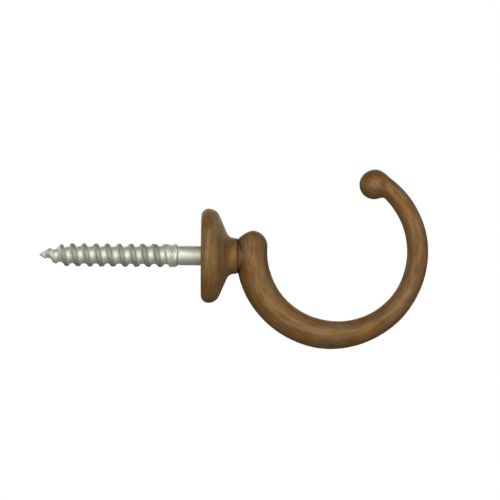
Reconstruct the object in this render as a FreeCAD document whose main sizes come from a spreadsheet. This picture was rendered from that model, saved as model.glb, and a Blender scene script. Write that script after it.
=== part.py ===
import FreeCAD, Part
import math
import os
import re

import Sketcher
from FreeCAD import Placement, Rotation, Vector

# Screw-in wall hook: a cast hook arm, a turned rosette and a double-ended steel screw.
#
# Frame, in millimetres: +Z is up, and the origin is the centre of the rosette's back face, which lies
# on the wall. +X is the axis of the screw, pointing out of the wall, so the wood thread is on the -X
# side. The arm bends in the XZ plane, with its mouth upwards.

# Driving dimensions: name, value, what it is
SIZES = [
    ("screw_reach", 41.5, "wall plane to the point of the screw"),
    ("plain_length", 5.8, "smooth shank between the wall plane and the wood thread"),
    ("thread_diameter", 6.0, "over the crests of the wood thread"),
    ("core_diameter", 4.4, "under the valleys of the wood thread"),
    ("thread_pitch", 3.0, "one turn of the wood thread"),
    ("valley_radius", 1.05, "round bottom of the wood thread's groove"),
    ("valley_flank", 20.0, "lean of the groove's sides, degrees from square"),
    ("valley_open", 0.9, "height of the groove's cutter above its round bottom"),
    ("point_length", 8.2, "rounded point, from its tip to the full thread diameter"),
    ("tip_radius", 0.12, "blunt end of the point"),
    ("taper_thread", 7.0, "part of the point where the groove gets deeper"),
    ("bare_tip", 0.9, "end of the point that has no groove"),
    ("runout_length", 3.0, "length over which the groove comes up out of the steel near the shank"),
    ("runout_angle", 14.0, "rise of the groove there, degrees"),
    ("thread_shoulder", 0.5, "cone from the thread diameter down to the shank"),
    ("shank_diameter", 5.0, "smooth shank, and over the machine thread"),
    ("stud_reach", 4.4, "seat of the hook arm to the front end of the screw"),
    ("stud_thread", 10.0, "length of the machine thread, back from the front end"),
    ("stud_pitch", 0.8, "one turn of the machine thread"),
    ("stud_thread_depth", 0.49, "depth of the machine thread"),
    ("stud_vee_overcut", 0.12, "height of the machine thread's cutter above the crests"),
    ("stud_root_share", 0.14, "flat root of the machine thread, as a share of its pitch"),
    ("stud_chamfer", 0.6, "bevel on the front end of the screw"),
    ("running_clearance", 0.05, "radial gap of each running fit"),
    ("rosette_diameter", 24.2, "over the rim"),
    ("rosette_depth", 9.2, "wall plane to the seat of the hook arm"),
    ("back_rounding", 1.9, "rounding of the rim towards the wall"),
    ("front_rounding", 3.1, "rounding of the rim towards the hook"),
    ("shoulder_depth", 4.7, "wall plane to the end of the rim's front rounding"),
    ("shoulder_drop", 1.8, "radius lost from the rim to the end of that rounding"),
    ("cone_depth", 6.6, "wall plane to the start of the cove"),
    ("cone_drop", 6.2, "radius lost from the rim to the start of the cove"),
    ("cove_radius", 2.15, "hollow between the cone and the neck"),
    ("neck_land", 0.62, "straight neck, from the cove to the seat"),
    ("neck_wall", 1.05, "metal of the neck round the spigot's counterbore"),
    ("neck_edge", 0.25, "rounding of the neck's front edge"),
    ("spigot_diameter", 7.0, "round spigot on the back of the hook arm"),
    ("spigot_length", 5.0, "seat to the back end of the spigot"),
    ("spigot_gap", 0.2, "space left behind the spigot"),
    ("spigot_chamfer", 0.4, "bevel on the spigot"),
    ("tapped_gap", 0.7, "space left in front of the screw in the tapped hole"),
    ("tapped_countersink", 0.3, "bevel on the mouth of the tapped hole"),
    ("drill_angle", 118.0, "included angle of the drilled hole's bottom, degrees"),
    ("seat_sink", 0.35, "depth of the flat seat in the round butt"),
    ("seat_step", 0.15, "radius that the seat's pad stays inside the neck's"),
    ("pad_taper", 30.0, "lean of the pad's side towards the screw's axis, degrees"),
    ("hook_rise", 1.2, "screw axis up to the centre of the hook's bend"),
    ("bend_radius", 21.3, "centreline of the arm"),
    ("butt_angle", 176.5, "polar angle where the arm starts, degrees"),
    ("ball_angle", 60.0, "polar angle where the arm ends in the ball, degrees"),
    ("butt_diameter", 8.1, "arm at the butt"),
    ("shoulder_diameter", 8.1, "arm just below the rosette"),
    ("back_diameter", 7.8, "arm at the back of the bend"),
    ("belly_diameter", 7.4, "arm at the bottom of the bend"),
    ("rise_diameter", 6.3, "arm where it starts to rise"),
    ("front_diameter", 5.55, "arm on the front of the bend"),
    ("crown_diameter", 5.4, "arm at the foremost point"),
    ("throat_diameter", 5.1, "arm below the ball"),
    ("tip_diameter", 4.7, "arm inside the ball"),
    ("ball_diameter", 7.5, "ball on the tip"),
    ("ball_proud", 0.1, "how far the ball stands out past the arm's outer side"),
]
SIZE_NAMES = [name for name, _, _ in SIZES]

# Places that several pieces share, worked out from the sizes
STUD_END = "(rosette_depth + stud_reach)"
SPIGOT_END = "(rosette_depth - spigot_length)"
ARM_MIDDLE = "(rosette_depth + butt_diameter / 2 - seat_sink)"
BEND_CENTRE = "(rosette_depth + butt_diameter / 2 - seat_sink + bend_radius)"
BORE = "(shank_diameter / 2 + running_clearance)"
COUNTERBORE = "(spigot_diameter / 2 + running_clearance)"
NECK = "(spigot_diameter / 2 + running_clearance + neck_wall)"
CUTTER_OVERRUN = "1"

# Where each diameter of the arm applies, as a share of the centreline from the butt to the ball
ARM_STATIONS = [
    ("shoulder_diameter", 0.10),
    ("back_diameter", 0.21),
    ("belly_diameter", 0.35),
    ("rise_diameter", 0.49),
    ("front_diameter", 0.63),
    ("crown_diameter", 0.79),
    ("throat_diameter", 0.91),
    ("tip_diameter", 1.0),
]

ORIGIN = -1
ORIGIN_POINT = 1
START = 1
END = 2
CENTRE = 3

doc = FreeCAD.newDocument("WallHook")


def make_sheet():
    """The spreadsheet that holds the driving dimensions."""
    sheet = doc.addObject("Spreadsheet::Sheet", "Sizes")
    for row, (name, number, meaning) in enumerate(SIZES, start=1):
        sheet.set("A%d" % row, name)
        sheet.set("B%d" % row, str(number))
        sheet.setAlias("B%d" % row, name)
        sheet.set("C%d" % row, meaning)
    doc.recompute()
    return sheet


sheet = make_sheet()


def sheet_terms(expression):
    """The expression with each size's name written as the sheet's property."""
    def as_property(match):
        word = match.group()
        return "Sizes." + word if word in SIZE_NAMES else word
    return re.sub(r"[a-z_]+", as_property, expression)


def value(expression):
    """What an expression of the sizes comes to now."""
    result = sheet.evalExpression(sheet_terms(expression))
    return float(getattr(result, "Value", result))


def bind(item, property_name, expression):
    """Tie one property of a feature to the sizes."""
    item.setExpression(property_name, sheet_terms(expression))


def make_body(name):
    """An empty body whose label names the sub-part's file."""
    body = doc.addObject("PartDesign::Body", name)
    body.Label = name
    body.Placement = Placement(Vector(0, 0, 0), Rotation())
    return body


def origin_part(body, role):
    """An axis or plane of the body's own origin."""
    return next(item for item in body.Origin.OriginFeatures if item.Role == role)


def new_sketch(body, name, plane):
    """An empty sketch on one of the body's origin planes."""
    sketch = body.newObject("Sketcher::SketchObject", name)
    sketch.AttachmentSupport = [(origin_part(body, plane), "")]
    sketch.MapMode = "FlatFace"
    return sketch


def constrain(sketch, kind, picks, expression):
    """One dimension of a sketch, tied to the sizes."""
    index = sketch.addConstraint(Sketcher.Constraint(kind, *picks, value(expression)))
    bind(sketch, "Constraints[%d]" % index, expression)


def add_side(sketch, start, finish, radius):
    """A line, or an arc that turns left for a positive radius; returns its index and its end numbers."""
    if radius == 0:
        return sketch.addGeometry(Part.LineSegment(start, finish), False), START, END
    chord = finish - start
    leftwards = Vector(-chord.y, chord.x, 0).normalize()
    height = math.sqrt(radius * radius - chord.Length ** 2 / 4)
    centre = (start + finish) / 2 + leftwards * math.copysign(height, radius)
    first, last = (start, finish) if radius > 0 else (finish, start)
    first_angle = math.atan2(first.y - centre.y, first.x - centre.x)
    last_angle = math.atan2(last.y - centre.y, last.x - centre.x)
    circle = Part.Circle(centre, Vector(0, 0, 1), abs(radius))
    index = sketch.addGeometry(Part.ArcOfCircle(circle, first_angle, last_angle), False)
    return (index, START, END) if radius > 0 else (index, END, START)


def draw_outline(body, name, plane, corners):
    """A closed outline in a new sketch."""
    return fill_outline(new_sketch(body, name, plane), corners)


def fill_outline(sketch, corners):
    """A closed outline. Each corner is (across, up) or (across, up, radius of the arc that leaves it)."""
    points = [Vector(value(corner[0]), value(corner[1]), 0) for corner in corners]
    sides = []
    for number, corner in enumerate(corners):
        radius = value(corner[2]) if len(corner) > 2 else 0
        finish = points[(number + 1) % len(points)]
        sides.append(add_side(sketch, points[number], finish, radius))
    for number, corner in enumerate(corners):
        index, start_end, finish_end = sides[number]
        next_index, next_start, _ = sides[(number + 1) % len(sides)]
        sketch.addConstraint(Sketcher.Constraint("Coincident", index, finish_end, next_index, next_start))
        constrain(sketch, "DistanceX", (ORIGIN, ORIGIN_POINT, index, start_end), corner[0])
        constrain(sketch, "DistanceY", (ORIGIN, ORIGIN_POINT, index, start_end), corner[1])
        if len(corner) > 2:
            constrain(sketch, "Radius", (index,), "abs(%s)" % corner[2])
    return sketch


def draw_circle(sketch, diameter):
    """A circle on the sketch's own centre."""
    index = sketch.addGeometry(Part.Circle(Vector(0, 0, 0), Vector(0, 0, 1), value(diameter) / 2), False)
    sketch.addConstraint(Sketcher.Constraint("Coincident", index, CENTRE, ORIGIN, ORIGIN_POINT))
    constrain(sketch, "Diameter", (index,), diameter)


def turn(body, kind, name, sketch):
    """A Revolution or a Groove right round the screw's axis."""
    feature = body.newObject("PartDesign::" + kind, name)
    feature.Profile = sketch
    feature.ReferenceAxis = (origin_part(body, "X_Axis"), [""])
    feature.Angle = 360
    return feature


def cut_thread(body, name, sketch, pitch, height, cone_angle="0", towards_wall=False):
    """A right-hand helical cut round the screw's axis."""
    helix = body.newObject("PartDesign::SubtractiveHelix", name)
    helix.Profile = sketch
    helix.ReferenceAxis = (origin_part(body, "X_Axis"), [""])
    helix.Mode = "pitch-height-angle"
    helix.Reversed = towards_wall
    bind(helix, "Pitch", pitch)
    bind(helix, "Height", height)
    bind(helix, "Angle", cone_angle)
    doc.recompute()
    return helix


def draw_groove(body, name, middle):
    """Section of the wood thread's groove: a round bottom with leaning sides, open above the crests."""
    half_width = "valley_radius * cos(valley_flank)"
    top_half_width = "(%s + valley_open * tan(valley_flank))" % half_width
    round_top = "core_diameter / 2 + valley_radius * (1 - sin(valley_flank))"
    top = round_top + " + valley_open"
    return draw_outline(body, name, "XZ_Plane", [
        (middle + " - " + top_half_width, top),
        (middle + " - " + half_width, round_top, "valley_radius"),
        (middle + " + " + half_width, round_top),
        (middle + " + " + top_half_width, top),
    ])


def make_screw():
    """Steel screw: point and coarse wood thread, smooth shank, fine machine thread."""
    body = make_body("hanger_screw")
    land = "thread_diameter / 2"
    shank = "shank_diameter / 2"
    tip = "-screw_reach"
    ogive = "-(point_length ^ 2 + thread_diameter ^ 2 / 4) / thread_diameter"
    blank = draw_outline(body, "BlankOutline", "XZ_Plane", [
        (tip, "0"),
        (tip, "tip_radius", ogive),
        (tip + " + point_length", land),
        ("-plain_length - thread_shoulder", land),
        ("-plain_length", shank),
        (STUD_END + " - stud_chamfer", shank),
        (STUD_END, shank + " - stud_chamfer"),
        (STUD_END, "0"),
    ])
    turn(body, "Revolution", "Blank", blank)
    doc.recompute()

    # The groove has whole turns at full depth, so its three cuts meet in one plane, and it starts to
    # come up at least half a turn before the shoulder.
    full_start = tip + " + taper_thread"
    room = "screw_reach - plain_length - taper_thread - thread_pitch / 2"
    full_length = "floor((%s) / thread_pitch) * thread_pitch" % room
    full_end = full_start + " + " + full_length
    point_angle = "-atan(core_diameter / 2 / taper_thread)"
    for name, start, height, angle, towards_wall in (
        ("Thread", full_start, full_length, "0", False),
        ("PointThread", full_start, "taper_thread - bare_tip", point_angle, True),
        ("RunoutThread", full_end, "runout_length", "runout_angle", False),
    ):
        groove = draw_groove(body, name + "Outline", start)
        cut_thread(body, name, groove, "thread_pitch", height, angle, towards_wall)

    crest = shank + " + stud_vee_overcut"
    root = shank + " - stud_thread_depth"
    beyond = STUD_END + " + stud_pitch"
    vee = draw_outline(body, "StudThreadOutline", "XZ_Plane", [
        (beyond + " - stud_pitch / 2", crest),
        (beyond + " - stud_pitch * stud_root_share / 2", root),
        (beyond + " + stud_pitch * stud_root_share / 2", root),
        (beyond + " + stud_pitch / 2", crest),
    ])
    cut_thread(body, "StudThread", vee, "stud_pitch", "stud_thread + stud_pitch", "0", True)
    return body


def make_rosette():
    """Turned flange: domed rim, cone, cove and neck, bored for the screw and the arm's spigot."""
    body = make_body("rosette")
    rim = "rosette_diameter / 2"
    outline = draw_outline(body, "TurnedOutline", "XZ_Plane", [
        ("0", "0"),
        ("0", rim + " - back_rounding", "-back_rounding"),
        ("back_rounding", rim, "-front_rounding"),
        ("shoulder_depth", rim + " - shoulder_drop"),
        ("cone_depth", rim + " - cone_drop", "cove_radius"),
        ("rosette_depth - neck_land", NECK),
        ("rosette_depth - neck_edge", NECK, "-neck_edge"),
        ("rosette_depth", NECK + " - neck_edge"),
        ("rosette_depth", "0"),
    ])
    turn(body, "Revolution", "Turned", outline)
    doc.recompute()
    floor = SPIGOT_END + " - spigot_gap"
    before = "-" + CUTTER_OVERRUN
    beyond = "rosette_depth + " + CUTTER_OVERRUN
    bores = draw_outline(body, "BoresOutline", "XZ_Plane", [
        (before, "0"),
        (before, BORE),
        (floor, BORE),
        (floor, COUNTERBORE),
        (beyond, COUNTERBORE),
        (beyond, "0"),
    ])
    turn(body, "Groove", "Bores", bores)
    return body


def draw_centreline(body):
    """Arc that the middle of the arm follows, from the butt down and round to the ball."""
    sketch = new_sketch(body, "Centreline", "XZ_Plane")
    centre = Vector(value(BEND_CENTRE), value("hook_rise"), 0)
    circle = Part.Circle(centre, Vector(0, 0, 1), value("bend_radius"))
    first = math.radians(value("butt_angle"))
    last = math.radians(value("ball_angle") + 360)
    arc = sketch.addGeometry(Part.ArcOfCircle(circle, first, last), False)
    for end, angle in ((START, "butt_angle"), (END, "ball_angle")):
        picks = (ORIGIN, ORIGIN_POINT, arc, end)
        constrain(sketch, "DistanceX", picks, BEND_CENTRE + " + bend_radius * cos(%s)" % angle)
        constrain(sketch, "DistanceY", picks, "hook_rise + bend_radius * sin(%s)" % angle)
    constrain(sketch, "Radius", (arc,), "bend_radius")
    return sketch


def draw_station(body, centreline, diameter, share):
    """A round section of the arm, square to its centreline."""
    sketch = body.newObject("Sketcher::SketchObject", diameter.replace("_diameter", "_section"))
    sketch.AttachmentSupport = [(centreline, "Edge1")]
    sketch.MapMode = "NormalToEdge"
    sketch.MapPathParameter = share
    draw_circle(sketch, diameter)
    return sketch


def add_ball(body, name, centreline, share, diameter, inwards="0"):
    """A ball centred at a share of the centreline, or some way in from it towards the bend's centre."""
    ball = body.newObject("PartDesign::AdditiveSphere", name)
    ball.AttachmentSupport = [(centreline, "Edge1")]
    ball.MapMode = "NormalToEdge"
    ball.MapPathParameter = share
    bind(ball, "Radius", diameter + " / 2")
    bind(ball, "AttachmentOffset.Base.y", "-(%s)" % inwards)
    doc.recompute()
    return ball


def make_arm():
    """Cast arm: tapering bend, round butt, ball tip, and a tapped spigot on its back."""
    body = make_body("hook_arm")
    centreline = draw_centreline(body)
    doc.recompute()
    butt_section = draw_station(body, centreline, "butt_diameter", 0)
    sections = [draw_station(body, centreline, name, share) for name, share in ARM_STATIONS]
    doc.recompute()
    bend = body.newObject("PartDesign::AdditivePipe", "Bend")
    bend.Profile = butt_section
    bend.Spine = (centreline, ["Edge1"])
    bend.Transformation = "Multisection"
    bend.Sections = [(section, "") for section in sections]
    doc.recompute()
    add_ball(body, "ButtCap", centreline, 0, "butt_diameter")
    inwards = "(ball_diameter - tip_diameter) / 2 - ball_proud"
    add_ball(body, "BallTip", centreline, 1, "ball_diameter", inwards)

    # Flat seat that bears on the rosette
    seat_outline = draw_outline(body, "SeatOutline", "XZ_Plane", [
        ("rosette_depth - butt_diameter", "-bend_radius"),
        ("rosette_depth", "-bend_radius"),
        ("rosette_depth", "bend_radius"),
        ("rosette_depth - butt_diameter", "bend_radius"),
    ])
    seat = body.newObject("PartDesign::Pocket", "Seat")
    seat.Profile = seat_outline
    seat.Midplane = True
    bind(seat, "Length", "butt_diameter * 2")
    doc.recompute()

    # Pad that fills the round arm out to the face of the neck, and narrows into the arm
    pad_radius = "(%s - neck_edge - seat_step)" % NECK
    pad = draw_outline(body, "SeatPadOutline", "XZ_Plane", [
        ("rosette_depth", "0"),
        ("rosette_depth", pad_radius),
        (ARM_MIDDLE, pad_radius + " - (%s - rosette_depth) * tan(pad_taper)" % ARM_MIDDLE),
        (ARM_MIDDLE, "0"),
    ])
    turn(body, "Revolution", "SeatPad", pad)
    doc.recompute()

    spigot = draw_outline(body, "SpigotOutline", "XZ_Plane", [
        (SPIGOT_END, "0"),
        (SPIGOT_END, "spigot_diameter / 2 - spigot_chamfer"),
        (SPIGOT_END + " + spigot_chamfer", "spigot_diameter / 2"),
        (ARM_MIDDLE, "spigot_diameter / 2"),
        (ARM_MIDDLE, "0"),
    ])
    turn(body, "Revolution", "Spigot", spigot)
    doc.recompute()

    mouth = BORE + " + tapped_countersink"
    before = SPIGOT_END + " - " + CUTTER_OVERRUN
    bottom = STUD_END + " + tapped_gap"
    tapped = draw_outline(body, "TappedOutline", "XZ_Plane", [
        (before, "0"),
        (before, mouth),
        (SPIGOT_END, mouth),
        (SPIGOT_END + " + tapped_countersink", BORE),
        (bottom, BORE),
        (bottom + " + %s / tan(drill_angle / 2)" % BORE, "0"),
    ])
    turn(body, "Groove", "TappedHole", tapped)
    return body


def check_document():
    """Stop if any object failed, any cut removed nothing, or any addition added nothing."""
    for item in doc.Objects:
        if any(word in item.State for word in ("Invalid", "Error")):
            raise RuntimeError("%s is %s" % (item.Label, item.State))
        base = getattr(item, "BaseFeature", None)
        if item.TypeId == "PartDesign::Body" or base is None:
            continue
        change = item.Shape.Volume - base.Shape.Volume
        cuts = any(word in item.TypeId for word in ("Pocket", "Groove", "Subtractive"))
        if (cuts and change > -0.01) or (not cuts and change < 0.01):
            raise RuntimeError("%s changed the volume by %.4f" % (item.Label, change))
        print("%-14s %+9.2f mm3" % (item.Label, change))


def export(bodies):
    """Write each sub-part, once all of them are known to be one valid solid each."""
    os.makedirs("parts", exist_ok=True)
    for body in bodies:
        shape = body.Shape
        if shape.isNull() or not shape.isValid() or len(shape.Solids) != 1:
            raise RuntimeError("%s isn't one valid solid" % body.Label)
    for body in bodies:
        body.Shape.exportStep("parts/%s.step" % body.Label)
        box = body.Shape.optimalBoundingBox(False)
        print("%-14s %8.1f mm3, X %.2f to %.2f, Z %.2f to %.2f" % (
            body.Label, body.Shape.Volume, box.XMin, box.XMax, box.ZMin, box.ZMax))


sub_parts = [make_screw(), make_rosette(), make_arm()]
doc.recompute()
check_document()
export(sub_parts)
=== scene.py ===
# %% [markdown]
# # A screw-in wall hook, cell by cell
#
# The hook is three pieces of metal: a cast bronze-coloured arm with a ball on its tip, a turned rosette
# that hides the hole in the wall, and a zinc-plated screw. The CAD model already says how big each one
# is and how they move. Here each piece gets the surface that the real one has: the cast arm's soft
# unevenness, the rolled thread's worn crests, and the brushed finish.
#
# We load the CAD model first. Everything after this is in metres, in the CAD model's own frame: the
# wall is the plane x = 0, the screw points to -x, and the arm curls in the plane y = 0.

# %% Load the frame
import math

import bmesh
import bpy
import numpy as np
from mathutils import Matrix, Vector


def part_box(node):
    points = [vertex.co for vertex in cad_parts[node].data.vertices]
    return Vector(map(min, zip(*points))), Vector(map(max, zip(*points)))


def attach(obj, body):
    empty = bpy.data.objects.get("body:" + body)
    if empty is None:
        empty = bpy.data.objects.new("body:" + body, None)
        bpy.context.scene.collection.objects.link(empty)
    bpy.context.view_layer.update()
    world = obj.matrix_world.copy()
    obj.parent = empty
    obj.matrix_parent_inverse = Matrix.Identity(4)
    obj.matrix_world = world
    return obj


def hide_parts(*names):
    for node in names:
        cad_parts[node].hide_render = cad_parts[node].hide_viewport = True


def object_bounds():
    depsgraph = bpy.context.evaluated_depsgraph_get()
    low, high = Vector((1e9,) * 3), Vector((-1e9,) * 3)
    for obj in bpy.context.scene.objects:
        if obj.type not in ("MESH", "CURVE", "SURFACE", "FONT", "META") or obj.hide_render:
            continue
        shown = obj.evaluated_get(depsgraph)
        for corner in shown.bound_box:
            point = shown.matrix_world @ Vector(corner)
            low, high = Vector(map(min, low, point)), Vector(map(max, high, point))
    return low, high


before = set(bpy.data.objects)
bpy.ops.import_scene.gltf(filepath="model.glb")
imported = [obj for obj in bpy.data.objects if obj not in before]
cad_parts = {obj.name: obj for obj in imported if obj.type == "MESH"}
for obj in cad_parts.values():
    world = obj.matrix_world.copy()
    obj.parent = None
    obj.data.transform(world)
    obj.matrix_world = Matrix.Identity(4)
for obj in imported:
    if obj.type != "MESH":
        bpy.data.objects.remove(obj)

MM = 0.001
cad_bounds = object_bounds()
screw_low, screw_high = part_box("hanger_screw")
_, rosette_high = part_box("rosette")
arm_low, arm_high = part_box("hook_arm")
seat_x = rosette_high.x
print("seat of the arm, mm from the wall:", round(seat_x / MM, 2))
print("point of the screw, mm from the wall:", round(screw_low.x / MM, 2))

# %% [markdown]
# ## Turning numbers into meshes
#
# All three pieces are rows of points: rings round a centreline. You could model them by hand with
# extrude and scale, or spin a profile with the Screw modifier. Rings built from a formula are chosen
# here, because a thread or a cast blend is a radius that changes along and around the piece, and a
# formula says that in one line. `ring_mesh` takes the rings and skins them with quads. A pole closes an
# end with triangles, and a piece with a hole right through it joins its last ring to its first.

# %% Skin a stack of rings
SHARP_DEGREES = 38.0


def ring_mesh(name, rings, first_pole=None, last_pole=None, looped=False, sharp_degrees=SHARP_DEGREES):
    """rings has the shape (rings, points round, 3), in metres."""
    count, around, _ = rings.shape
    points = [tuple(point) for point in rings.reshape(-1, 3)]
    faces = []
    pairs = count if looped else count - 1
    for ring in range(pairs):
        here = ring * around
        there = ((ring + 1) % count) * around
        for step in range(around):
            after = (step + 1) % around
            faces.append((here + step, here + after, there + after, there + step))
    if first_pole is not None:
        points.append(tuple(first_pole))
        faces += [(len(points) - 1, (step + 1) % around, step) for step in range(around)]
    if last_pole is not None:
        points.append(tuple(last_pole))
        base = (count - 1) * around
        faces += [(len(points) - 1, base + step, base + (step + 1) % around) for step in range(around)]
    mesh = bpy.data.meshes.new(name)
    mesh.from_pydata(points, [], faces)
    return finished_piece(name, mesh, sharp_degrees)


def finished_piece(name, mesh, sharp_degrees=SHARP_DEGREES):
    """Put a mesh in the scene with outward faces, smooth but for its real edges."""
    work = bmesh.new()
    work.from_mesh(mesh)
    bmesh.ops.recalc_face_normals(work, faces=work.faces)
    for face in work.faces:
        face.smooth = True
    for edge in work.edges:
        edge.smooth = edge.calc_face_angle(0.0) < math.radians(sharp_degrees)
    work.to_mesh(mesh)
    work.free()
    piece = bpy.data.objects.get(name) or bpy.data.objects.new(name, mesh)
    if piece.name not in bpy.context.scene.collection.objects:
        bpy.context.scene.collection.objects.link(piece)
    piece.data = mesh
    return piece


# %% Say how big a piece is
def report(piece):
    """Print how many faces a piece has and where it lies."""
    corners = np.array([vertex.co for vertex in piece.data.vertices])
    low = corners.min(0) / MM
    high = corners.max(0) / MM
    print(piece.name, len(piece.data.polygons), "faces, mm:", low.round(2), "to", high.round(2))


print("edges that turn by more than", SHARP_DEGREES, "degrees stay sharp")

# %% [markdown]
# ## The arm: one casting, bend, butt and ball
#
# On the real hook the arm is cast in one piece, so the ball grows out of the arm with no joint line. Its
# outer side runs straight on into the ball, and only the inner side has a soft nick. Two meshes
# stuck together would show a hard line there. A sculpted or remeshed union would lose the exact bend.
#
# So we describe the metal as distances: how far a point is from the bar, and how far it is from the
# ball. A smooth minimum of the two distances is a casting with a fillet. A smooth maximum with a plane
# is a place that somebody filed down, as on the butt beside the rosette. Then we send rays out from the
# middle of the bar and stop each one where the distance is zero. The bar's own taper is a few
# diameters along the bend, joined by a smooth curve.

# %% Sizes of the arm
BEND_RADIUS = 21.3 * MM
BUTT_ANGLE = math.radians(176.5)
BALL_ANGLE = math.radians(420.0)
MOUTH_MIDDLE = math.radians(118.0)
BALL_RADIUS = 3.75 * MM
BALL_PROUD = 0.1 * MM
TAPER = [
    # share of the way from the butt to the ball, and the diameter there in mm
    (0.00, 8.1), (0.10, 8.1), (0.21, 7.8), (0.35, 7.4), (0.49, 6.3),
    (0.63, 5.55), (0.79, 5.4), (0.91, 5.1), (1.00, 4.7),
]
BUTT_RADIUS = TAPER[0][1] / 2 * MM
TIP_RADIUS = TAPER[-1][1] / 2 * MM
CROWN_RADIUS = 5.42 / 2 * MM   # at the foremost point
BELLY_RADIUS = 7.25 / 2 * MM   # at the lowest point
bend_centre = Vector((arm_high.x - BEND_RADIUS - CROWN_RADIUS, 0, arm_low.z + BEND_RADIUS + BELLY_RADIUS))
ball_reach = BEND_RADIUS + TIP_RADIUS + BALL_PROUD - BALL_RADIUS
print("centre of the bend, mm:", [round(value / MM, 2) for value in bend_centre])


# %% Taper, as a smooth curve through the diameters
def ease(low, high, value):
    """0 before low, 1 after high, and a smooth step between."""
    part = np.clip((value - low) / (high - low), 0, 1)
    return part * part * (3 - 2 * part)


def smooth_curve(shares, heights):
    """A curve through the points: cubic pieces, whose slope at each point is the average beside it."""
    shares = np.array(shares)
    heights = np.array(heights)
    rises = np.diff(heights) / np.diff(shares)
    slopes = np.concatenate([[rises[0]], (rises[1:] + rises[:-1]) / 2, [rises[-1]]])

    def curve(at):
        at = np.clip(at, shares[0], shares[-1])
        piece = np.clip(np.searchsorted(shares, at, side="right") - 1, 0, len(shares) - 2)
        width = shares[piece + 1] - shares[piece]
        part = (at - shares[piece]) / width
        return (
            heights[piece] * (1 + 2 * part) * (1 - part) ** 2
            + slopes[piece] * width * part * (1 - part) ** 2
            + heights[piece + 1] * part ** 2 * (3 - 2 * part)
            + slopes[piece + 1] * width * part ** 2 * (part - 1)
        )
    return curve


bar_diameter = smooth_curve(*zip(*TAPER))


def bar_radius(angle):
    """Radius of the bar at a place on the bend."""
    share = (angle - BUTT_ANGLE) / (BALL_ANGLE - BUTT_ANGLE)
    return bar_diameter(share) / 2 * MM


print("radius half way along the arm, mm:", round(float(bar_radius((BUTT_ANGLE + BALL_ANGLE) / 2)) / MM, 2))

# %% [markdown]
# A cast and hand-polished bar is never quite round or even. A few long waves, a few hundredths of a
# millimetre high, are enough: the eye doesn't see them as bumps, but the highlights stop being perfect.

# %% Metal as distances
FILLET = 1.1 * MM
DRESSED_PLACE = Vector((8.9, 0.0, 4.45)) * MM
DRESSED_WAY = Vector((-0.541, 0.0, 0.841))
DRESSED_ROUND = 0.9 * MM
WAVES = [
    # waves along, waves round, height in mm, start
    (7.0, 1.0, 0.030, 0.4),
    (13.0, 2.0, 0.022, 2.1),
    (23.0, 3.0, 0.012, 4.0),
    (41.0, 5.0, 0.006, 1.3),
]


def smooth_minimum(one, two, width):
    """The smaller of two distances, with a fillet where they are nearly equal."""
    blend = np.clip(0.5 + 0.5 * (two - one) / width, 0, 1)
    return two * (1 - blend) + one * blend - width * blend * (1 - blend)


def polish_waves(along, around):
    """Height of the hand-polished unevenness, in metres; along and around are angles."""
    height = np.zeros_like(along)
    for long_count, round_count, size, start in WAVES:
        height += size * MM * np.sin(long_count * along + start) * np.cos(round_count * around + 2 * start)
    return height


def arm_distance(points, around):
    """Signed distance from the casting: below zero inside the metal."""
    offset = points - np.array(bend_centre)
    reach = np.hypot(offset[..., 0], offset[..., 2])
    angle = np.arctan2(offset[..., 2], offset[..., 0])
    angle = np.where(angle < MOUTH_MIDDLE, angle + 2 * math.pi, angle)
    held = np.clip(angle, BUTT_ANGLE, BALL_ANGLE)
    centre = np.stack([np.cos(held), np.zeros_like(held), np.sin(held)], -1) * BEND_RADIUS
    bar = np.linalg.norm(offset - centre, axis=-1) - bar_radius(held) - polish_waves(held, around)
    ball_centre = np.array([math.cos(BALL_ANGLE), 0, math.sin(BALL_ANGLE)]) * ball_reach
    ball = np.linalg.norm(offset - ball_centre, axis=-1) - BALL_RADIUS
    dressed = (points - np.array(DRESSED_PLACE)) @ np.array(DRESSED_WAY)
    bar = -smooth_minimum(-bar, -dressed, DRESSED_ROUND)
    return smooth_minimum(bar, ball, FILLET)


print("highest wave on the bar, mm:", sum(size for _, _, size, _ in WAVES))

# %% [markdown]
# The rays start from a line that follows the bend and then slides a little inwards, to end in the middle
# of the ball. At both ends the rings get smaller towards a pole, as on a globe. Each ray is halved forty
# times, which finds the surface to far better than a hair's width. Last, the points behind the seat are
# moved to just in front of its plane: the flat face itself comes with the next piece.

# %% Rays, rings and the seat
AROUND = 96
ALONG = 430
CAP_RINGS = 22
HALVINGS = 40
SLIDE_START = 0.93
SEARCH_REACH = 7.0 * MM
SEAT_SKIN = 0.04 * MM


def place_on_bend(angle, reach):
    """A point on the bend, the way outwards from its centre there, and the way along it."""
    outward = np.array([math.cos(angle), 0, math.sin(angle)])
    forward = np.array([-math.sin(angle), 0, math.cos(angle)])
    return np.array(bend_centre) + reach * outward, outward, forward


def ring_of_rays(start, outward, forward, lean):
    """Where one ring of rays meets the surface; lean tips them from square (0) to along (90 degrees)."""
    around = np.linspace(0, 2 * math.pi, AROUND, endpoint=False)
    sideways = np.array([0.0, 1.0, 0.0])
    flat = np.cos(around)[:, None] * outward + np.sin(around)[:, None] * sideways
    ways = math.cos(lean) * flat + math.sin(lean) * forward
    near = np.zeros(AROUND)
    far = np.full(AROUND, SEARCH_REACH)
    for _ in range(HALVINGS):
        middle = (near + far) / 2
        inside = arm_distance(start + middle[:, None] * ways, around) < 0
        near = np.where(inside, middle, near)
        far = np.where(inside, far, middle)
    return start + near[:, None] * ways


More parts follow.
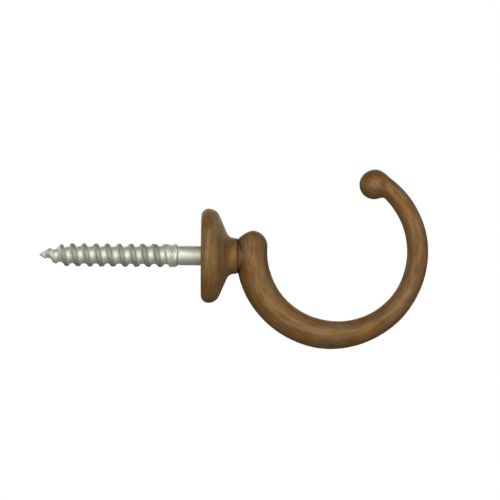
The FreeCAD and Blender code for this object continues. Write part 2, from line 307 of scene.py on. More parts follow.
def casting_rings():
    """All the rings from the butt's pole to the ball's, and the two poles."""
    cap_leans = [math.pi / 2 * ring / CAP_RINGS for ring in range(1, CAP_RINGS)]
    butt = place_on_bend(BUTT_ANGLE, BEND_RADIUS)
    rings = [ring_of_rays(*butt, -lean) for lean in reversed(cap_leans)]
    for share in np.linspace(0, 1, ALONG):
        angle = BUTT_ANGLE + share * (BALL_ANGLE - BUTT_ANGLE)
        reach = BEND_RADIUS + ease(SLIDE_START, 1.0, share) * (ball_reach - BEND_RADIUS)
        rings.append(ring_of_rays(*place_on_bend(angle, reach), 0.0))
    ball = place_on_bend(BALL_ANGLE, ball_reach)
    rings += [ring_of_rays(*ball, lean) for lean in cap_leans]
    rings = np.array(rings)
    rings[..., 0] = np.maximum(rings[..., 0], seat_x + SEAT_SKIN)
    return rings, butt[0] - butt[2] * BUTT_RADIUS, ball[0] + ball[2] * BALL_RADIUS


rings, butt_pole, ball_pole = casting_rings()
hook = ring_mesh("bronze_hook", rings, butt_pole, ball_pole)
report(hook)

# %% [markdown]
# ## The pad and the spigot on the arm's back
#
# Where the arm sits on the rosette, the casting flares out into a round pad, a hair smaller than the
# neck. Behind the pad is a short round spigot, drilled and tapped for the screw. The spigot is hidden in
# the rosette, but it shows when the hook is screwed off. Both are machined, so a lathe profile suits
# them: a list of (x, radius) corners spun round the x axis. The Boolean modifier joins them to the
# casting and drills the hole. Boolean is right here because these shapes really do meet in hard corners.

# %% A small lathe
TURNED_STEPS = 192


def turned(name, profile, steps=TURNED_STEPS, looped=False):
    """Spin (x, radius) corners, in metres, round the x axis."""
    angles = np.linspace(0, 2 * math.pi, steps, endpoint=False)
    rings = np.array([
        np.stack([np.full(steps, x), -radius * np.sin(angles), radius * np.cos(angles)], -1)
        for x, radius in profile
    ])
    if looped:
        return ring_mesh(name, rings, looped=True)
    return ring_mesh(name, rings, (profile[0][0], 0, 0), (profile[-1][0], 0, 0))


# %% One Boolean at a time
def combine(piece, tool, operation):
    """Apply one Boolean, remove the tool, and give back the piece."""
    modifier = piece.modifiers.new(operation.title(), "BOOLEAN")
    modifier.operation = operation
    modifier.solver = "EXACT"
    modifier.object = tool
    evaluated = piece.evaluated_get(bpy.context.evaluated_depsgraph_get())
    mesh = bpy.data.meshes.new_from_object(evaluated)
    piece.modifiers.remove(modifier)
    bpy.data.objects.remove(tool)
    return finished_piece(piece.name, mesh)


# %% Arcs for lathe profiles
ARC_STEPS = 14


def arc(start, end, radius, steps=ARC_STEPS):
    """Points from start to end on a circle; a positive radius bends to the left of the way there."""
    start = np.array(start)
    end = np.array(end)
    chord = end - start
    length = np.hypot(*chord)
    left = np.array([-chord[1], chord[0]]) / length
    height = math.sqrt(max(radius * radius - length * length / 4, 0.0))
    centre = (start + end) / 2 + left * math.copysign(height, radius)
    first = math.atan2(*(start - centre)[::-1])
    sweep = 2 * math.asin(min(length / 2 / abs(radius), 1.0)) * math.copysign(1, radius)
    angles = first + sweep * np.linspace(0, 1, steps)
    return [tuple(centre + abs(radius) * np.array([math.cos(a), math.sin(a)])) for a in angles]


middle_of_quarter = arc((1.0, 0.0), (0.0, 1.0), 1.0, steps=3)[1]
print("half way round a quarter circle:", [round(float(value), 3) for value in middle_of_quarter])

# %% Join the pad and the spigot, and drill the hole
PAD_RADIUS = 4.5 * MM
PAD_EDGE = 0.2 * MM
PAD_FLARE = 2.4 * MM
PAD_LENGTH = 1.9 * MM
PAD_END_RADIUS = 3.3 * MM
SPIGOT_RADIUS = 3.5 * MM
SPIGOT_BEVEL = 0.4 * MM
CLEARANCE = 0.05 * MM
SHANK_RADIUS = 2.5 * MM
TAPPED_GAP = 0.7 * MM
COUNTERSINK = 0.3 * MM
DRILL_CONE = 1.5 * MM
DRILL_POINT = 0.05 * MM
OVERRUN = 1.0 * MM
spigot_x = arm_low.x
arm_middle_x = bend_centre.x - BEND_RADIUS
bore_radius = SHANK_RADIUS + CLEARANCE
bore_end_x = screw_high.x + TAPPED_GAP

back = turned("back", [
    (spigot_x, SPIGOT_RADIUS - SPIGOT_BEVEL),
    (spigot_x + SPIGOT_BEVEL, SPIGOT_RADIUS),
    (seat_x, SPIGOT_RADIUS),
    (seat_x, PAD_RADIUS - PAD_EDGE),
    *arc((seat_x + PAD_EDGE, PAD_RADIUS), (seat_x + PAD_LENGTH, PAD_END_RADIUS), PAD_FLARE),
    (arm_middle_x, PAD_END_RADIUS),
])
hook = combine(hook, back, "UNION")
drill = turned("drill", [
    (spigot_x - OVERRUN, bore_radius + COUNTERSINK),
    (spigot_x, bore_radius + COUNTERSINK),
    (spigot_x + COUNTERSINK, bore_radius),
    (bore_end_x, bore_radius),
    (bore_end_x + DRILL_CONE, DRILL_POINT),
])
hook = combine(hook, drill, "DIFFERENCE")
report(hook)

# %% [markdown]
# ## The rosette: turned on a lathe
#
# The rosette is a true lathe part, so a spun profile is the honest way. Its outline is a few arcs: the
# rim rolls over to the wall side with a small radius and to the hook side with a larger one, runs down a
# short cone and sweeps through a hollow into the neck. The inside is two bores, one for the shank and
# one for the spigot. The Screw modifier could spin the same outline, but here we also want the ring of
# quads to close on itself through the bore, so that the piece is one closed skin.

# %% The rosette's outline
rim_radius = rosette_high.z
BACK_ROUND = 1.9 * MM
FRONT_ROUND = 3.1 * MM
SHOULDER = (4.7 * MM, rim_radius - 1.8 * MM)
CONE_END = (6.6 * MM, rim_radius - 6.2 * MM)
COVE_RADIUS = 2.15 * MM
NECK_RADIUS = 4.6 * MM
NECK_LAND = 0.62 * MM
NECK_EDGE = 0.25 * MM
COUNTERBORE_X = spigot_x - 0.2 * MM
BORE_BEVEL = 0.3 * MM
FLAT_RINGS = 5
FLAT_INNER = 4.5 * MM
FLAT_STOP = 0.2 * MM
EDGE_STEPS = 6
ROSETTE_STEPS = 224
counterbore_radius = SPIGOT_RADIUS + CLEARANCE

flat_outer = rim_radius - BACK_ROUND - FLAT_STOP
outside = (
    [(0.0, bore_radius + BORE_BEVEL)]
    + [(0.0, radius) for radius in np.linspace(FLAT_INNER, flat_outer, FLAT_RINGS)]
    + arc((0.0, rim_radius - BACK_ROUND), (BACK_ROUND, rim_radius), -BACK_ROUND)
    + arc((BACK_ROUND, rim_radius), SHOULDER, -FRONT_ROUND)[1:]
    + arc(CONE_END, (seat_x - NECK_LAND, NECK_RADIUS), COVE_RADIUS)
    + arc((seat_x - NECK_EDGE, NECK_RADIUS), (seat_x, NECK_RADIUS - NECK_EDGE), -NECK_EDGE, EDGE_STEPS)
)
inside = [
    (seat_x, counterbore_radius + BORE_BEVEL / 2),
    (seat_x - BORE_BEVEL / 2, counterbore_radius),
    (COUNTERBORE_X, counterbore_radius),
    (COUNTERBORE_X, bore_radius),
    (BORE_BEVEL, bore_radius),
]
rosette = turned("bronze_rosette", outside + inside, ROSETTE_STEPS, looped=True)
report(rosette)

# %% [markdown]
# ## The screw: a radius that depends on where you are
#
# A thread is easy to get wrong with an array of rings, because the rings close on themselves and never
# climb. Instead each point's radius is worked out from its place: along the screw, and how far that is
# from the middle of the groove as it winds round. The groove of a rolled wood thread has a round bottom,
# leaning sides and a flat crest. Near the point the metal and the groove both shrink. Near the shank the
# groove gets shallow and the rolling dies leave a torn, folded end.

# %% Sizes of the screw
PITCH = 3.0 * MM
GROOVE_RADIUS = 1.15 * MM
CREST_ROUND = 0.22 * MM
TEAR_SPACING = 0.85 * MM
TEAR_HEIGHT = 0.15 * MM
FIRST_FULL_TURN = 7.0 * MM
PLAIN_LENGTH = 5.8 * MM
SHANK_BLEND = 0.5 * MM
STUD_THREAD = 10.0 * MM
STUD_PITCH = 0.8 * MM
STUD_DEPTH = 0.49 * MM
STUD_BEVEL = 0.6 * MM
tip_x = screw_low.x
stud_x = screw_high.x
thread_length = -PLAIN_LENGTH - tip_x

# Over the crests and under the grooves, by distance from the tip: both in mm
crest_line = smooth_curve((0.0, 2.4, 3.6, 5.5, 7.0, 8.4), (0.06, 1.58, 2.06, 2.68, 2.93, 3.0))
root_line = smooth_curve((0.0, 2.2, 4.0, 5.5, 7.0, 9.0), (0.06, 0.75, 1.38, 1.86, 2.04, 2.2))


def crest_radius(along):
    """The bar that the thread is rolled on: pointed, then straight, then the shank."""
    shank = ease(thread_length - SHANK_BLEND, thread_length, along)
    return crest_line(along / MM) * MM * (1 - shank) + SHANK_RADIUS * shank


print("wood thread with its point, mm:", round(thread_length / MM, 2))

# %% The wood thread's groove
ROUND_END = math.radians(20)
FLANK_LEAN = math.radians(24)


def groove_height(distance):
    """How far the groove's wall stands above its bottom, by distance from its middle."""
    distance = np.abs(distance)
    flank_start = GROOVE_RADIUS * math.cos(ROUND_END)
    on_round = GROOVE_RADIUS - np.sqrt(GROOVE_RADIUS ** 2 - np.minimum(distance, flank_start) ** 2)
    return on_round + np.maximum(distance - flank_start, 0) / math.tan(FLANK_LEAN)


print("groove's wall at half a pitch, mm:", round(float(groove_height(PITCH / 2)) / MM, 2))

# %% [markdown]
# Dies wear, so no two turns are quite alike: the groove's width wanders a little and some crests are
# lower. The core swells on one side towards the shank. Each of these is a small wave or a smooth step.

# %% The wood thread
WIDTH_WAVES = [
    # share of the width, radians for each turn, start
    (0.06, 2.3, 0.8),
    (0.04, 5.9, 0.0),
]
CREST_WEAR = 0.04 * MM
CREST_WEAR_RATE = 4.1
CREST_WEAR_FROM = (3 * MM, 8 * MM)
CORE_SWELL = 0.12 * MM
CORE_SWELL_LEAN = 0.8
CORE_SWELL_FROM = (24 * MM, 29 * MM)
GROOVE_STARTS = (1.2 * MM, 2.1 * MM)
GROOVE_ENDS = (thread_length - 3.4 * MM, thread_length - 0.4 * MM)
GROOVE_FILL = 0.8
TEAR_FROM = (thread_length - 3.6 * MM, thread_length - 2.4 * MM)
TEAR_TOP = 0.3 * TEAR_HEIGHT


def torn_ridges(along, angle, distance, winding):
    """Height of the small folds that the dies leave in the last turn."""
    bend = 2 * np.sin(3 * angle) + 1.1 * np.sin(5 * winding)
    ridges = np.cos(2 * math.pi * distance / TEAR_SPACING + bend)
    strength = 0.6 + 0.4 * np.sin(2 * angle + 1.3)
    return np.minimum(TEAR_HEIGHT * ease(*TEAR_FROM, along) * ridges * strength, TEAR_TOP)


def wood_thread(along, angle):
    """Radius of the wood thread at a distance from the tip and an angle round it."""
    turns = (along - FIRST_FULL_TURN) / PITCH - angle / (2 * math.pi)
    nearest = np.round(turns)
    winding = nearest + angle / (2 * math.pi)
    groove_middle = FIRST_FULL_TURN + winding * PITCH
    width_change = 1 + sum(share * np.sin(rate * winding + start) for share, rate, start in WIDTH_WAVES)
    distance = (turns - nearest) * PITCH * width_change
    wear = CREST_WEAR * (1 + np.sin(CREST_WEAR_RATE * winding))
    crest = crest_radius(along) - wear * ease(*CREST_WEAR_FROM, along)
    swell = CORE_SWELL * (1 + CORE_SWELL_LEAN * np.cos(angle))
    core = root_line(along / MM) * MM + swell * ease(*CORE_SWELL_FROM, along)
    no_groove = 1 - ease(*GROOVE_STARTS, groove_middle) + GROOVE_FILL * ease(*GROOVE_ENDS, groove_middle)
    core = core + (crest - core) * no_groove
    smooth = smooth_minimum(core + groove_height(distance), crest, CREST_ROUND)
    return smooth + torn_ridges(along, angle, distance, winding)


middle_of_thread = np.array([thread_length / 2])
print("radius in mid thread, mm:", (wood_thread(middle_of_thread, np.zeros(1)) / MM).round(2))

# %% The machine thread's vee
STUD_ROOT_FLAT = 0.14
STUD_FLANK = 0.72
STUD_RUN_OUT = 1.2 * STUD_PITCH


def machine_thread(x, angle):
    """Radius of the machine thread; its root flat and flank are shares of half a pitch."""
    turns = (x - stud_x) / STUD_PITCH - angle / (2 * math.pi)
    from_root = np.abs(turns - np.round(turns)) * 2
    height = np.clip((from_root - STUD_ROOT_FLAT) / STUD_FLANK, 0, 1)
    cut = ease(stud_x - STUD_THREAD, stud_x - STUD_THREAD + STUD_RUN_OUT, x)
    bevel = np.clip(x - (stud_x - STUD_BEVEL), 0, None)
    return np.minimum(SHANK_RADIUS - STUD_DEPTH * (1 - height) * cut, SHANK_RADIUS - bevel)


print("machine thread's root, mm:", round((SHANK_RADIUS - STUD_DEPTH) / MM, 2))

# %% [markdown]
# The last turn before the shank is where the dies let go of the metal. Real screws show a fold and a few
# small nicks there, and dents along the crests from being tumbled in the plating barrel. Each mark is a
# soft bump with a place, a size and a slant. A seeded generator scatters the small dents.

# %% Marks on the screw
FOLDS = [
    # along from the tip, angle, half length along, half width round, slant, height: mm and radians
    (33.6, 1.15, 0.55, 0.50, 1.1, 0.16),
    (34.5, 1.75, 0.40, 0.75, 0.9, 0.12),
    (32.7, 0.70, 0.45, 0.35, 1.4, -0.13),
    (34.0, 2.40, 0.35, 0.60, 0.6, -0.10),
    (30.9, 1.40, 0.30, 0.12, 0.2, -0.12),
    (34.9, 0.35, 0.35, 0.60, 0.5, 0.10),
]
DENTS = 26
DENT_RANGES = [
    # least and most of the same five, and of the depth
    (6, 34), (0, 2 * math.pi), (0.12, 0.3), (0.06, 0.16), (-1, 1), (0.02, 0.06),
]
dice = np.random.default_rng(11)
dent_places = []
for _ in range(DENTS):
    *place, depth = [dice.uniform(low, high) for low, high in DENT_RANGES]
    dent_places.append((*place, -depth))


def marks(along, angle):
    """Height of all the folds and dents together, in metres."""
    height = np.zeros_like(along)
    for place, turn, length, width, slant, size in FOLDS + dent_places:
        sideways = (angle - turn + math.pi) % (2 * math.pi) - math.pi
        lengthways = (along / MM - place - slant * sideways) / length
        height += size * MM * np.exp(-lengthways ** 2 - (sideways / width) ** 2)
    return height


print(len(FOLDS), "folds and", len(dent_places), "dents")

# %% Build the screw
SCREW_AROUND = 144
THREAD_STEP = 0.07 * MM
POINT_STEP = 0.05 * MM
STUD_STEP = 0.08 * MM
BLUNT_TIP = 0.06 * MM
POINT_LENGTH = 3 * MM
PLAIN_RINGS = 24
SCREW_SHARP_DEGREES = 75.0
wood_end = thread_length + 0.3 * MM

stations = np.concatenate([
    np.arange(BLUNT_TIP, POINT_LENGTH, POINT_STEP) + tip_x,
    np.arange(POINT_LENGTH, wood_end, THREAD_STEP) + tip_x,
    np.linspace(-PLAIN_LENGTH + 0.4 * MM, stud_x - STUD_THREAD - 0.1 * MM, PLAIN_RINGS),
    np.arange(stud_x - STUD_THREAD, stud_x, STUD_STEP),
    [stud_x],
])
x_grid, angle_grid = np.meshgrid(
    stations, np.linspace(0, 2 * math.pi, SCREW_AROUND, endpoint=False), indexing="ij")
along_grid = x_grid - tip_x
wood = wood_thread(along_grid, angle_grid) + marks(along_grid, angle_grid)
radius_grid = np.where(
    along_grid < wood_end, wood,
    np.where(x_grid < stud_x - STUD_THREAD, SHANK_RADIUS, machine_thread(x_grid, angle_grid)))
screw_rings = np.stack(
    [x_grid, -radius_grid * np.sin(angle_grid), radius_grid * np.cos(angle_grid)], -1)
screw = ring_mesh(
    "zinc_screw", screw_rings, (tip_x, 0, 0), (stud_x, 0, 0), sharp_degrees=SCREW_SHARP_DEGREES)
report(screw)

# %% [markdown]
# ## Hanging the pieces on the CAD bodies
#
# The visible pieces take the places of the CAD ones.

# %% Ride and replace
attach(hook, "hook")
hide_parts("hook_arm")
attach(rosette, "rosette")
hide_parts("rosette")
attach(screw, "screw")
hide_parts("hanger_screw")
print("hook, rosette and screw ride on their bodies")

# %% [markdown]
# ## Wiring materials by hand
#
# A material is a tree of nodes. Wiring one takes many lines, so a small class does the repeated part: it
# makes a node, sets what is constant and links what isn't. Colours are written as the paint maker would,
# in the 0 to 255 steps of a screen, and turned into the linear light that Blender mixes.

# %% Colours
def paint(red, green, blue):
    """Screen colour to linear light."""
    def linear(step):
        step = step / 255
        return step / 12.92 if step <= 0.04045 else ((step + 0.055) / 1.055) ** 2.4
    return (linear(red), linear(green), linear(blue), 1.0)


print("mid grey of the screen, in linear light:", round(paint(128, 128, 128)[0], 3))


# %% A short hand for nodes
class Finish:
    """One material being wired. make() returns the node's first output unless told another."""

    def __init__(self, name):
        self.material = bpy.data.materials.new(name)
        self.material.use_nodes = True
        self.tree = self.material.node_tree
        self.shader = self.tree.nodes["Principled BSDF"]

    def feed(self, socket, value):
        if isinstance(value, bpy.types.NodeSocket):
            self.tree.links.new(value, socket)
        else:
            socket.default_value = value

    def make(self, kind, inputs=(), out=0, **settings):
        node = self.tree.nodes.new(kind)
        for key, value in settings.items():
            setattr(node, key, value)
        for key, value in (inputs.items() if isinstance(inputs, dict) else enumerate(inputs)):
            if value is not None:
                self.feed(node.inputs[key], value)
        return node.outputs[out]

    def maths(self, operation, *values):
        return self.make("ShaderNodeMath", values, operation=operation)

    def vector(self, x, y, z):
        return self.make("ShaderNodeCombineXYZ", (x, y, z))

    def noise(self, vector, scale=1.0, detail=4.0, roughness=0.55, distortion=0.0):
        return self.make("ShaderNodeTexNoise", {
            "Vector": vector, "Scale": scale, "Detail": detail,
            "Roughness": roughness, "Distortion": distortion})

    def between(self, value, low, high, to_low=0.0, to_high=1.0):
        """Stretch value so that low..high becomes to_low..to_high, clamped."""
        return self.make("ShaderNodeMapRange", (value, low, high, to_low, to_high))

    def mix(self, factor, one, two, blend_type="MIX"):
        node = self.tree.nodes.new("ShaderNodeMix")
        node.data_type = "RGBA"
        node.blend_type = blend_type
        self.feed(node.inputs[0], factor)
        self.feed(node.inputs[6], one)
        self.feed(node.inputs[7], two)
        return node.outputs[2]

    def bump(self, height, depth, below=None):
        """Depth is the real height of a full black to white step, in metres."""
        inputs = {"Height": height, "Distance": depth, "Strength": 1.0}
        if below is not None:
            inputs["Normal"] = below
        return self.make("ShaderNodeBump", inputs)

    def place(self):
        """The place on the piece, in metres."""
        return self.make("ShaderNodeTexCoord", out=3)

    def parts(self, vector):
        """The x, y and z of a vector."""
        node = self.tree.nodes.new("ShaderNodeSeparateXYZ")
        self.feed(node.inputs[0], vector)
        return node.outputs[0], node.outputs[1], node.outputs[2]

    def times(self, value, factor):
        return self.maths("MULTIPLY", value, factor)

    def diagonal(self, one, two):
        """How far two sides reach together: the root of the sum of their squares."""
        return self.maths("SQRT", self.maths("ADD", self.times(one, one), self.times(two, two)))

    def coat(self, **values):
        for key, value in values.items():
            self.feed(self.shader.inputs[key.replace("_", " ").title().replace("Ior", "IOR")], value)


# %% [markdown]
# ## Antique bronze, brushed along the work
#
# The finish is brass, stained brown, relieved with a brush and lacquered. The brush leaves long soft
# streaks that follow the work: along the bend on the arm, round and round on the rosette. Stretching a
# noise texture does this, if it is stretched along the right direction. So for the arm we first turn the
# place on the piece into three others: how far round the bend, how far out from its centre, and how far
# to the side. For the rosette it is how far along the axis and how far out from it. Then both use the
# same recipe: golden brown and grey tan streaks, a dark colour in the hollows that is partly stain and
# partly painted shade, and fine scratches as a bump only a few microns deep.

# %% The bronze recipe
GOLD_BROWN = paint(156, 112, 56)
TAN = paint(150, 122, 88)
DEEP_BROWN = paint(104, 70, 36)
HOLLOW_STAIN_AND_SHADE = paint(44, 30, 16)
LACQUER_TINT = (0.45, 0.36, 0.27, 1.0)

# Length and width of the streaks
BROAD_STREAK = (7 * MM, 1.9 * MM)
NARROW_STREAK = (4.5 * MM, 0.8 * MM)
SCRATCH = (5 * MM, 0.11 * MM)

# Size of the spots, and how far from a wall the stain and painted shade reach
CLOUD_SIZE = 5 * MM
PORE_SIZE = 0.35 * MM
STAIN_AND_SHADE_REACH = 2.6 * MM

# Where each mask starts and ends, and what it becomes there
TAN_BAND = (0.36, 0.64)
DEEP_STREAKS = (0.40, 0.70, 0.0, 0.60)
DEEP_CLOUDS = (0.45, 0.75, 0.0, 0.45)
STAINED_AND_SHADED_HOLLOWS = (0.35, 0.85, 0.9, 0.0)
BRONZE_ROUGH = (0.3, 0.7, 0.50, 0.64)
SCRATCH_ROUGH = (0.3, 0.7, -0.04, 0.04)

# Real height of each relief
PORE_DEPTH = 0.004 * MM
SCRATCH_DEPTH = 0.006 * MM
STREAK_DEPTH = 0.05 * MM


def darker(colour, share):
    """Less light in a colour, with the same hue."""
    return tuple(part * share for part in colour[:3]) + (1.0,)


def bronze(name, streak_place, light):
    """streak_place gives a vector for a streak's length and width; light is 1 for the full tone, and less
    paints the colours darker, as shade.
    """
    # Each piece's colours are painted darker by its own share, as shade, so arm and rosette look lit
    # differently.
    golden, tan, deep = (darker(colour, light) for colour in (GOLD_BROWN, TAN, DEEP_BROWN))
    finish = Finish(name)
    place = finish.place()
    broad = finish.noise(streak_place(finish, *BROAD_STREAK), detail=3.0, roughness=0.55)
    narrow = finish.noise(streak_place(finish, *NARROW_STREAK), detail=4.0, roughness=0.6)
    clouds = finish.noise(place, 1 / CLOUD_SIZE, detail=4.0)
    colour = finish.mix(finish.between(broad, *TAN_BAND), golden, tan)
    colour = finish.mix(finish.between(narrow, *DEEP_STREAKS), colour, deep)
    colour = finish.mix(finish.between(clouds, *DEEP_CLOUDS), colour, deep)
    # Occlusion darkens the hollows: partly the real stain of an antique finish, partly painted shade.
    hollow_occlusion = finish.make("ShaderNodeAmbientOcclusion", {"Distance": STAIN_AND_SHADE_REACH}, out=1, samples=8)
    crevice_stain_and_shade = finish.between(hollow_occlusion, *STAINED_AND_SHADED_HOLLOWS)
    colour = finish.mix(crevice_stain_and_shade, colour, HOLLOW_STAIN_AND_SHADE)
    scratches = finish.noise(streak_place(finish, *SCRATCH), detail=5.0, roughness=0.65)
    pores = finish.noise(place, 1 / PORE_SIZE, detail=2.0)
    rough = finish.between(narrow, *BRONZE_ROUGH)
    rough = finish.maths("ADD", rough, finish.between(scratches, *SCRATCH_ROUGH))
    relief = finish.bump(pores, PORE_DEPTH)
    relief = finish.bump(scratches, SCRATCH_DEPTH, relief)
    relief = finish.bump(broad, STREAK_DEPTH, relief)
    finish.feed(finish.shader.inputs["Base Color"], colour)
    finish.feed(finish.shader.inputs["Roughness"], rough)
    finish.feed(finish.shader.inputs["Normal"], relief)
    finish.coat(metallic=0.4, coat_weight=0.06, coat_roughness=0.35, coat_ior=1.45)
    finish.shader.inputs["Specular Tint"].default_value = LACQUER_TINT
    return finish.material


print("golden brown in linear light:", [round(part, 3) for part in GOLD_BROWN[:3]])

# %% Streaks along the arm and round the rosette
MOUTH_TURN = math.pi - MOUTH_MIDDLE
OUTWARD_FINENESS = 1.3
# Arm and rosette share one bronze; these shares paint their colours darker, as shade.
ARM_PAINTED_DIMMING = 0.80
ROSETTE_PAINTED_DIMMING = 0.93


def along_the_bend(finish, length, width):
    """Unroll the bend. The join of the angle is turned round to the open mouth, where there is no metal."""
    offset = finish.make(
        "ShaderNodeVectorMath", (finish.place(), tuple(bend_centre)), operation="SUBTRACT")
    turned_place = finish.make(
        "ShaderNodeVectorRotate", {"Vector": offset, "Angle": -MOUTH_TURN}, rotation_type="Y_AXIS")
    x, y, z = finish.parts(turned_place)
    angle = finish.maths("ARCTAN2", z, x)
    reach = finish.diagonal(x, z)
    return finish.vector(
        finish.times(angle, BEND_RADIUS / length),
        finish.times(reach, 1 / width),
        finish.times(y, 1 / width))


def round_the_axis(finish, length, width):
    """Rings: fine along the axis and outwards, slow from side to side."""
    x, y, z = finish.parts(finish.place())
    reach = finish.diagonal(y, z)
    profile = finish.maths(
        "ADD", finish.times(x, 1 / width), finish.times(reach, OUTWARD_FINENESS / width))
    return finish.vector(profile, finish.times(y, 1 / length), finish.times(z, 1 / length))


hook.data.materials.clear()
hook.data.materials.append(bronze("arm_bronze", along_the_bend, ARM_PAINTED_DIMMING))
rosette.data.materials.clear()
rosette.data.materials.append(bronze("rosette_bronze", round_the_axis, ROSETTE_PAINTED_DIMMING))
print("bronze made for", hook.name, "and", rosette.name)

# %% [markdown]
# ## Zinc, satin and a little tired
#
# Zinc plating on a rolled screw is pale, with a faint green grey cast. In the valleys and on the shank it
# is smooth enough to carry a highlight. The crests are rubbed dull and darker. So the radius itself
# drives the mask: far from the axis is a crest. The torn end beside the shank is sheltered and keeps its
# bright metal, so the mask stops before it. The wire was drawn before it was threaded, and that leaves
# lines along the shank.

# %% The zinc recipe
ZINC = paint(236, 238, 222)
ZINC_DULL = paint(222, 224, 208)
CREST_GREY = paint(168, 170, 154)
SOOT = paint(120, 120, 108)
CREST_BAND = (2.4 * MM, 2.75 * MM)
TORN_BAND = (-PLAIN_LENGTH - 4.4 * MM, -PLAIN_LENGTH - 3.2 * MM)
ZINC_CLOUD_SIZE = 1.6 * MM
SPECK_SIZE = 0.22 * MM
DRAWN_LENGTH = 9 * MM
DRAWN_WIDTH = 0.45 * MM
DRAWN_DEPTH = 0.006 * MM
MASK_WOBBLE = 0.35 * MM
DULL_CLOUDS = (0.35, 0.65)
DULL_LINES = (0.5, 0.75, 0.0, 0.45)
SOOTY_SPECKS = (0.64, 0.78, 0.0, 0.25)
ZINC_ROUGH = (0.3, 0.7, 0.56, 0.64)
CREST_ROUGHER = 0.08


def zinc():
    """Pale plating with dull crests, a few dark specks and drawn lines."""
    finish = Finish("zinc_plate")
    place = finish.place()
    x, y, z = finish.parts(place)
    reach = finish.diagonal(y, z)
    clouds = finish.noise(place, 1 / ZINC_CLOUD_SIZE, detail=4.0)
    specks = finish.noise(place, 1 / SPECK_SIZE, detail=3.0, roughness=0.6)
    drawn_place = finish.vector(
        finish.times(x, 1 / DRAWN_LENGTH), finish.times(y, 1 / DRAWN_WIDTH), finish.times(z, 1 / DRAWN_WIDTH))
    drawn = finish.noise(drawn_place, detail=3.0)
    colour = finish.mix(finish.between(clouds, *DULL_CLOUDS), ZINC, ZINC_DULL)
    colour = finish.mix(finish.between(drawn, *DULL_LINES), colour, ZINC_DULL)
    wobble = finish.times(finish.maths("SUBTRACT", clouds, 0.5), MASK_WOBBLE)
    crest = finish.between(finish.maths("ADD", reach, wobble), *CREST_BAND)
    crest = finish.times(crest, finish.between(x, *TORN_BAND, 0.9, 0.0))
    colour = finish.mix(crest, colour, CREST_GREY)
    colour = finish.mix(finish.between(specks, *SOOTY_SPECKS), colour, SOOT)
    rough = finish.between(clouds, *ZINC_ROUGH)
    rough = finish.maths("ADD", rough, finish.times(crest, CREST_ROUGHER))
    relief = finish.bump(drawn, DRAWN_DEPTH)
    finish.feed(finish.shader.inputs["Base Color"], colour)
    finish.feed(finish.shader.inputs["Roughness"], rough)
    finish.feed(finish.shader.inputs["Normal"], relief)
    finish.coat(metallic=0.9)
    return finish.material


screw.data.materials.clear()
screw.data.materials.append(zinc())
print("zinc made for", screw.name)

# %% [markdown]
# ## A place to stand, and light
#
# A hook has nothing to stand on, so the pale floor lies well below it, out of the camera's frame. Metal
# shows what is around it. A wide soft light in front, a little above, gives each bar a broad bright band,
# and a low one in front fills in under it. Weak lights overhead, behind and at the two ends keep the
# other sides readable. The lights themselves are hidden from the camera. The sky and the floor are pale
# to the camera and dim to the metal, so the undersides still fall away to dark.

# %% Floor
FLOOR_DROP = 160 * MM
FLOOR_RADIUS = 1600 * MM
FLOOR_CORNERS = 96
FLOOR_GLOW = 0.95
PAPER_GRAIN = 3 * MM
BLACK = paint(0, 0, 0)


def floor_paper():
    """Matt paper. The camera sees it evenly pale, and it throws little light up at the metal."""
    finish = Finish("floor_paper")
    grain = finish.noise(finish.place(), 1 / PAPER_GRAIN, detail=2.0)
    shade = finish.mix(grain, paint(136, 136, 135), paint(142, 142, 141))
    glow = finish.mix(grain, paint(236, 236, 234), paint(242, 242, 240))
    seen = finish.make("ShaderNodeLightPath")
    shade = finish.mix(seen, shade, BLACK)
    finish.feed(finish.shader.inputs["Base Color"], shade)
    finish.feed(finish.shader.inputs["Emission Color"], glow)
    finish.feed(finish.shader.inputs["Emission Strength"], finish.times(seen, FLOOR_GLOW))
    finish.coat(roughness=0.9)
    return finish.material


def stage_floor():
    """A round sheet below the hook."""
    floor_z = arm_low.z - FLOOR_DROP
    middle = (cad_bounds[0][0] + cad_bounds[1][0]) / 2
    turns = np.linspace(0, 2 * math.pi, FLOOR_CORNERS, endpoint=False)
    rim = [(middle + FLOOR_RADIUS * math.cos(turn), FLOOR_RADIUS * math.sin(turn), floor_z) for turn in turns]
    mesh = bpy.data.meshes.new("floor")
    mesh.from_pydata(rim, [], [tuple(range(FLOOR_CORNERS))])
    mesh.materials.append(floor_paper())
    floor = bpy.data.objects.new("floor", mesh)
    bpy.context.scene.collection.objects.link(floor)
    return floor_z


print("floor, mm:", round(stage_floor() / MM, 1))

# %% Light
LIGHTS = [
    # name, place from the middle of the hook and size in metres, power in watts
    ("front_panel", (0.05, -0.9, 0.36), (1.9, 1.0), 10.0),
    ("low_strip", (0.05, -0.85, -0.09), (1.6, 0.14), 2.2),
    ("top_panel", (0.0, -0.1, 0.9), (0.5, 0.5), 0.2),
    ("back_panel", (0.0, 0.95, 0.40), (1.3, 0.8), 6.5),
    ("right_panel", (1.0, -0.2, 0.3), (0.7, 0.7), 1.8),
    ("left_panel", (-1.0, 0.2, 0.3), (0.7, 0.7), 2.2),
]
middle = (Vector(cad_bounds[0]) + Vector(cad_bounds[1])) / 2


def soft_light(name, offset, size, power):
    """A soft rectangle of light that faces the middle of the hook."""
    data = bpy.data.lights.new(name, "AREA")
    data.shape = "RECTANGLE"
    data.size = size[0]
    data.size_y = size[1]
    data.energy = power
    light = bpy.data.objects.new(name, data)
    light.location = middle + Vector(offset)
    light.rotation_euler = (-Vector(offset)).to_track_quat("-Z", "Y").to_euler()
    light.visible_camera = False
    bpy.context.scene.collection.objects.link(light)


for name, offset, size, power in LIGHTS:
    soft_light(name, offset, size, power)
print("lights:", [name for name, _, _, _ in LIGHTS])

# %% Sky
SKY_FELT = 0.045

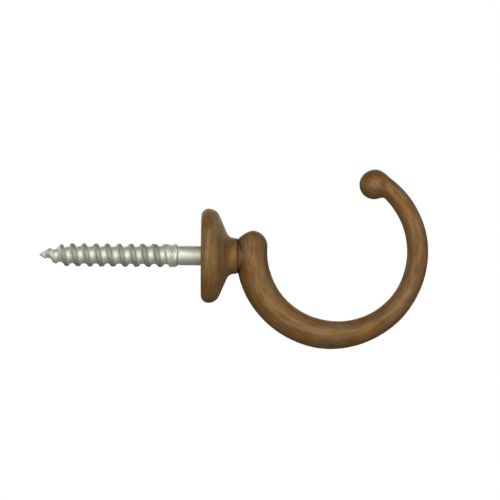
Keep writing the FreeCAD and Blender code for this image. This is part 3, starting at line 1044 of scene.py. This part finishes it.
world = bpy.data.worlds.new("studio")
world.use_nodes = True
bpy.context.scene.world = world
sky = world.node_tree
sky.nodes.clear()
seen = sky.nodes.new("ShaderNodeBackground")
seen.inputs["Color"].default_value = (1, 1, 1, 1)
felt = sky.nodes.new("ShaderNodeBackground")
felt.inputs["Color"].default_value = (0.96, 0.98, 1, 1)
felt.inputs["Strength"].default_value = SKY_FELT
ray = sky.nodes.new("ShaderNodeLightPath")
choice = sky.nodes.new("ShaderNodeMixShader")
ending = sky.nodes.new("ShaderNodeOutputWorld")
sky.links.new(ray.outputs["Is Camera Ray"], choice.inputs[0])
sky.links.new(felt.outputs[0], choice.inputs[1])
sky.links.new(seen.outputs[0], choice.inputs[2])
sky.links.new(choice.outputs[0], ending.inputs[0])
bpy.context.scene.view_settings.view_transform = "Standard"
print("the sky that the metal feels:", SKY_FELT, "of the one that the camera sees")

# %% [markdown]
# ## The camera
#
# The hook is shown square from the side, from far away through a long lens, so that the bars keep their
# true widths. The whole frame is 128 mm wide at the hook. A roll of less than half a degree lets the
# screw slope gently, as a hand-placed part does.

# %% Camera
FRAME_WIDTH = 128.2 * MM
CAMERA_DISTANCE = 1.2
SENSOR = 36.0
ROLL = math.radians(0.42)
CLIP_END = 20.0
FRAME_MIDDLE = Vector((12.54, 0.0, 1.46)) * MM


def side_camera():
    """Look along +y at the middle of the frame, rolled a little."""
    data = bpy.data.cameras.new("side_camera")
    data.sensor_width = SENSOR
    data.lens = SENSOR * CAMERA_DISTANCE / FRAME_WIDTH
    data.clip_end = CLIP_END
    camera = bpy.data.objects.new("side_camera", data)
    look = Matrix.Rotation(math.radians(90), 4, "X") @ Matrix.Rotation(ROLL, 4, "Z")
    spin = Matrix.Rotation(-ROLL, 4, "Y")
    target = spin @ FRAME_MIDDLE
    camera.matrix_world = Matrix.Translation(target + Vector((0, -CAMERA_DISTANCE, 0))) @ look
    bpy.context.scene.collection.objects.link(camera)
    bpy.context.scene.camera = camera
    return data.lens


print("lens, mm:", round(side_camera(), 1))
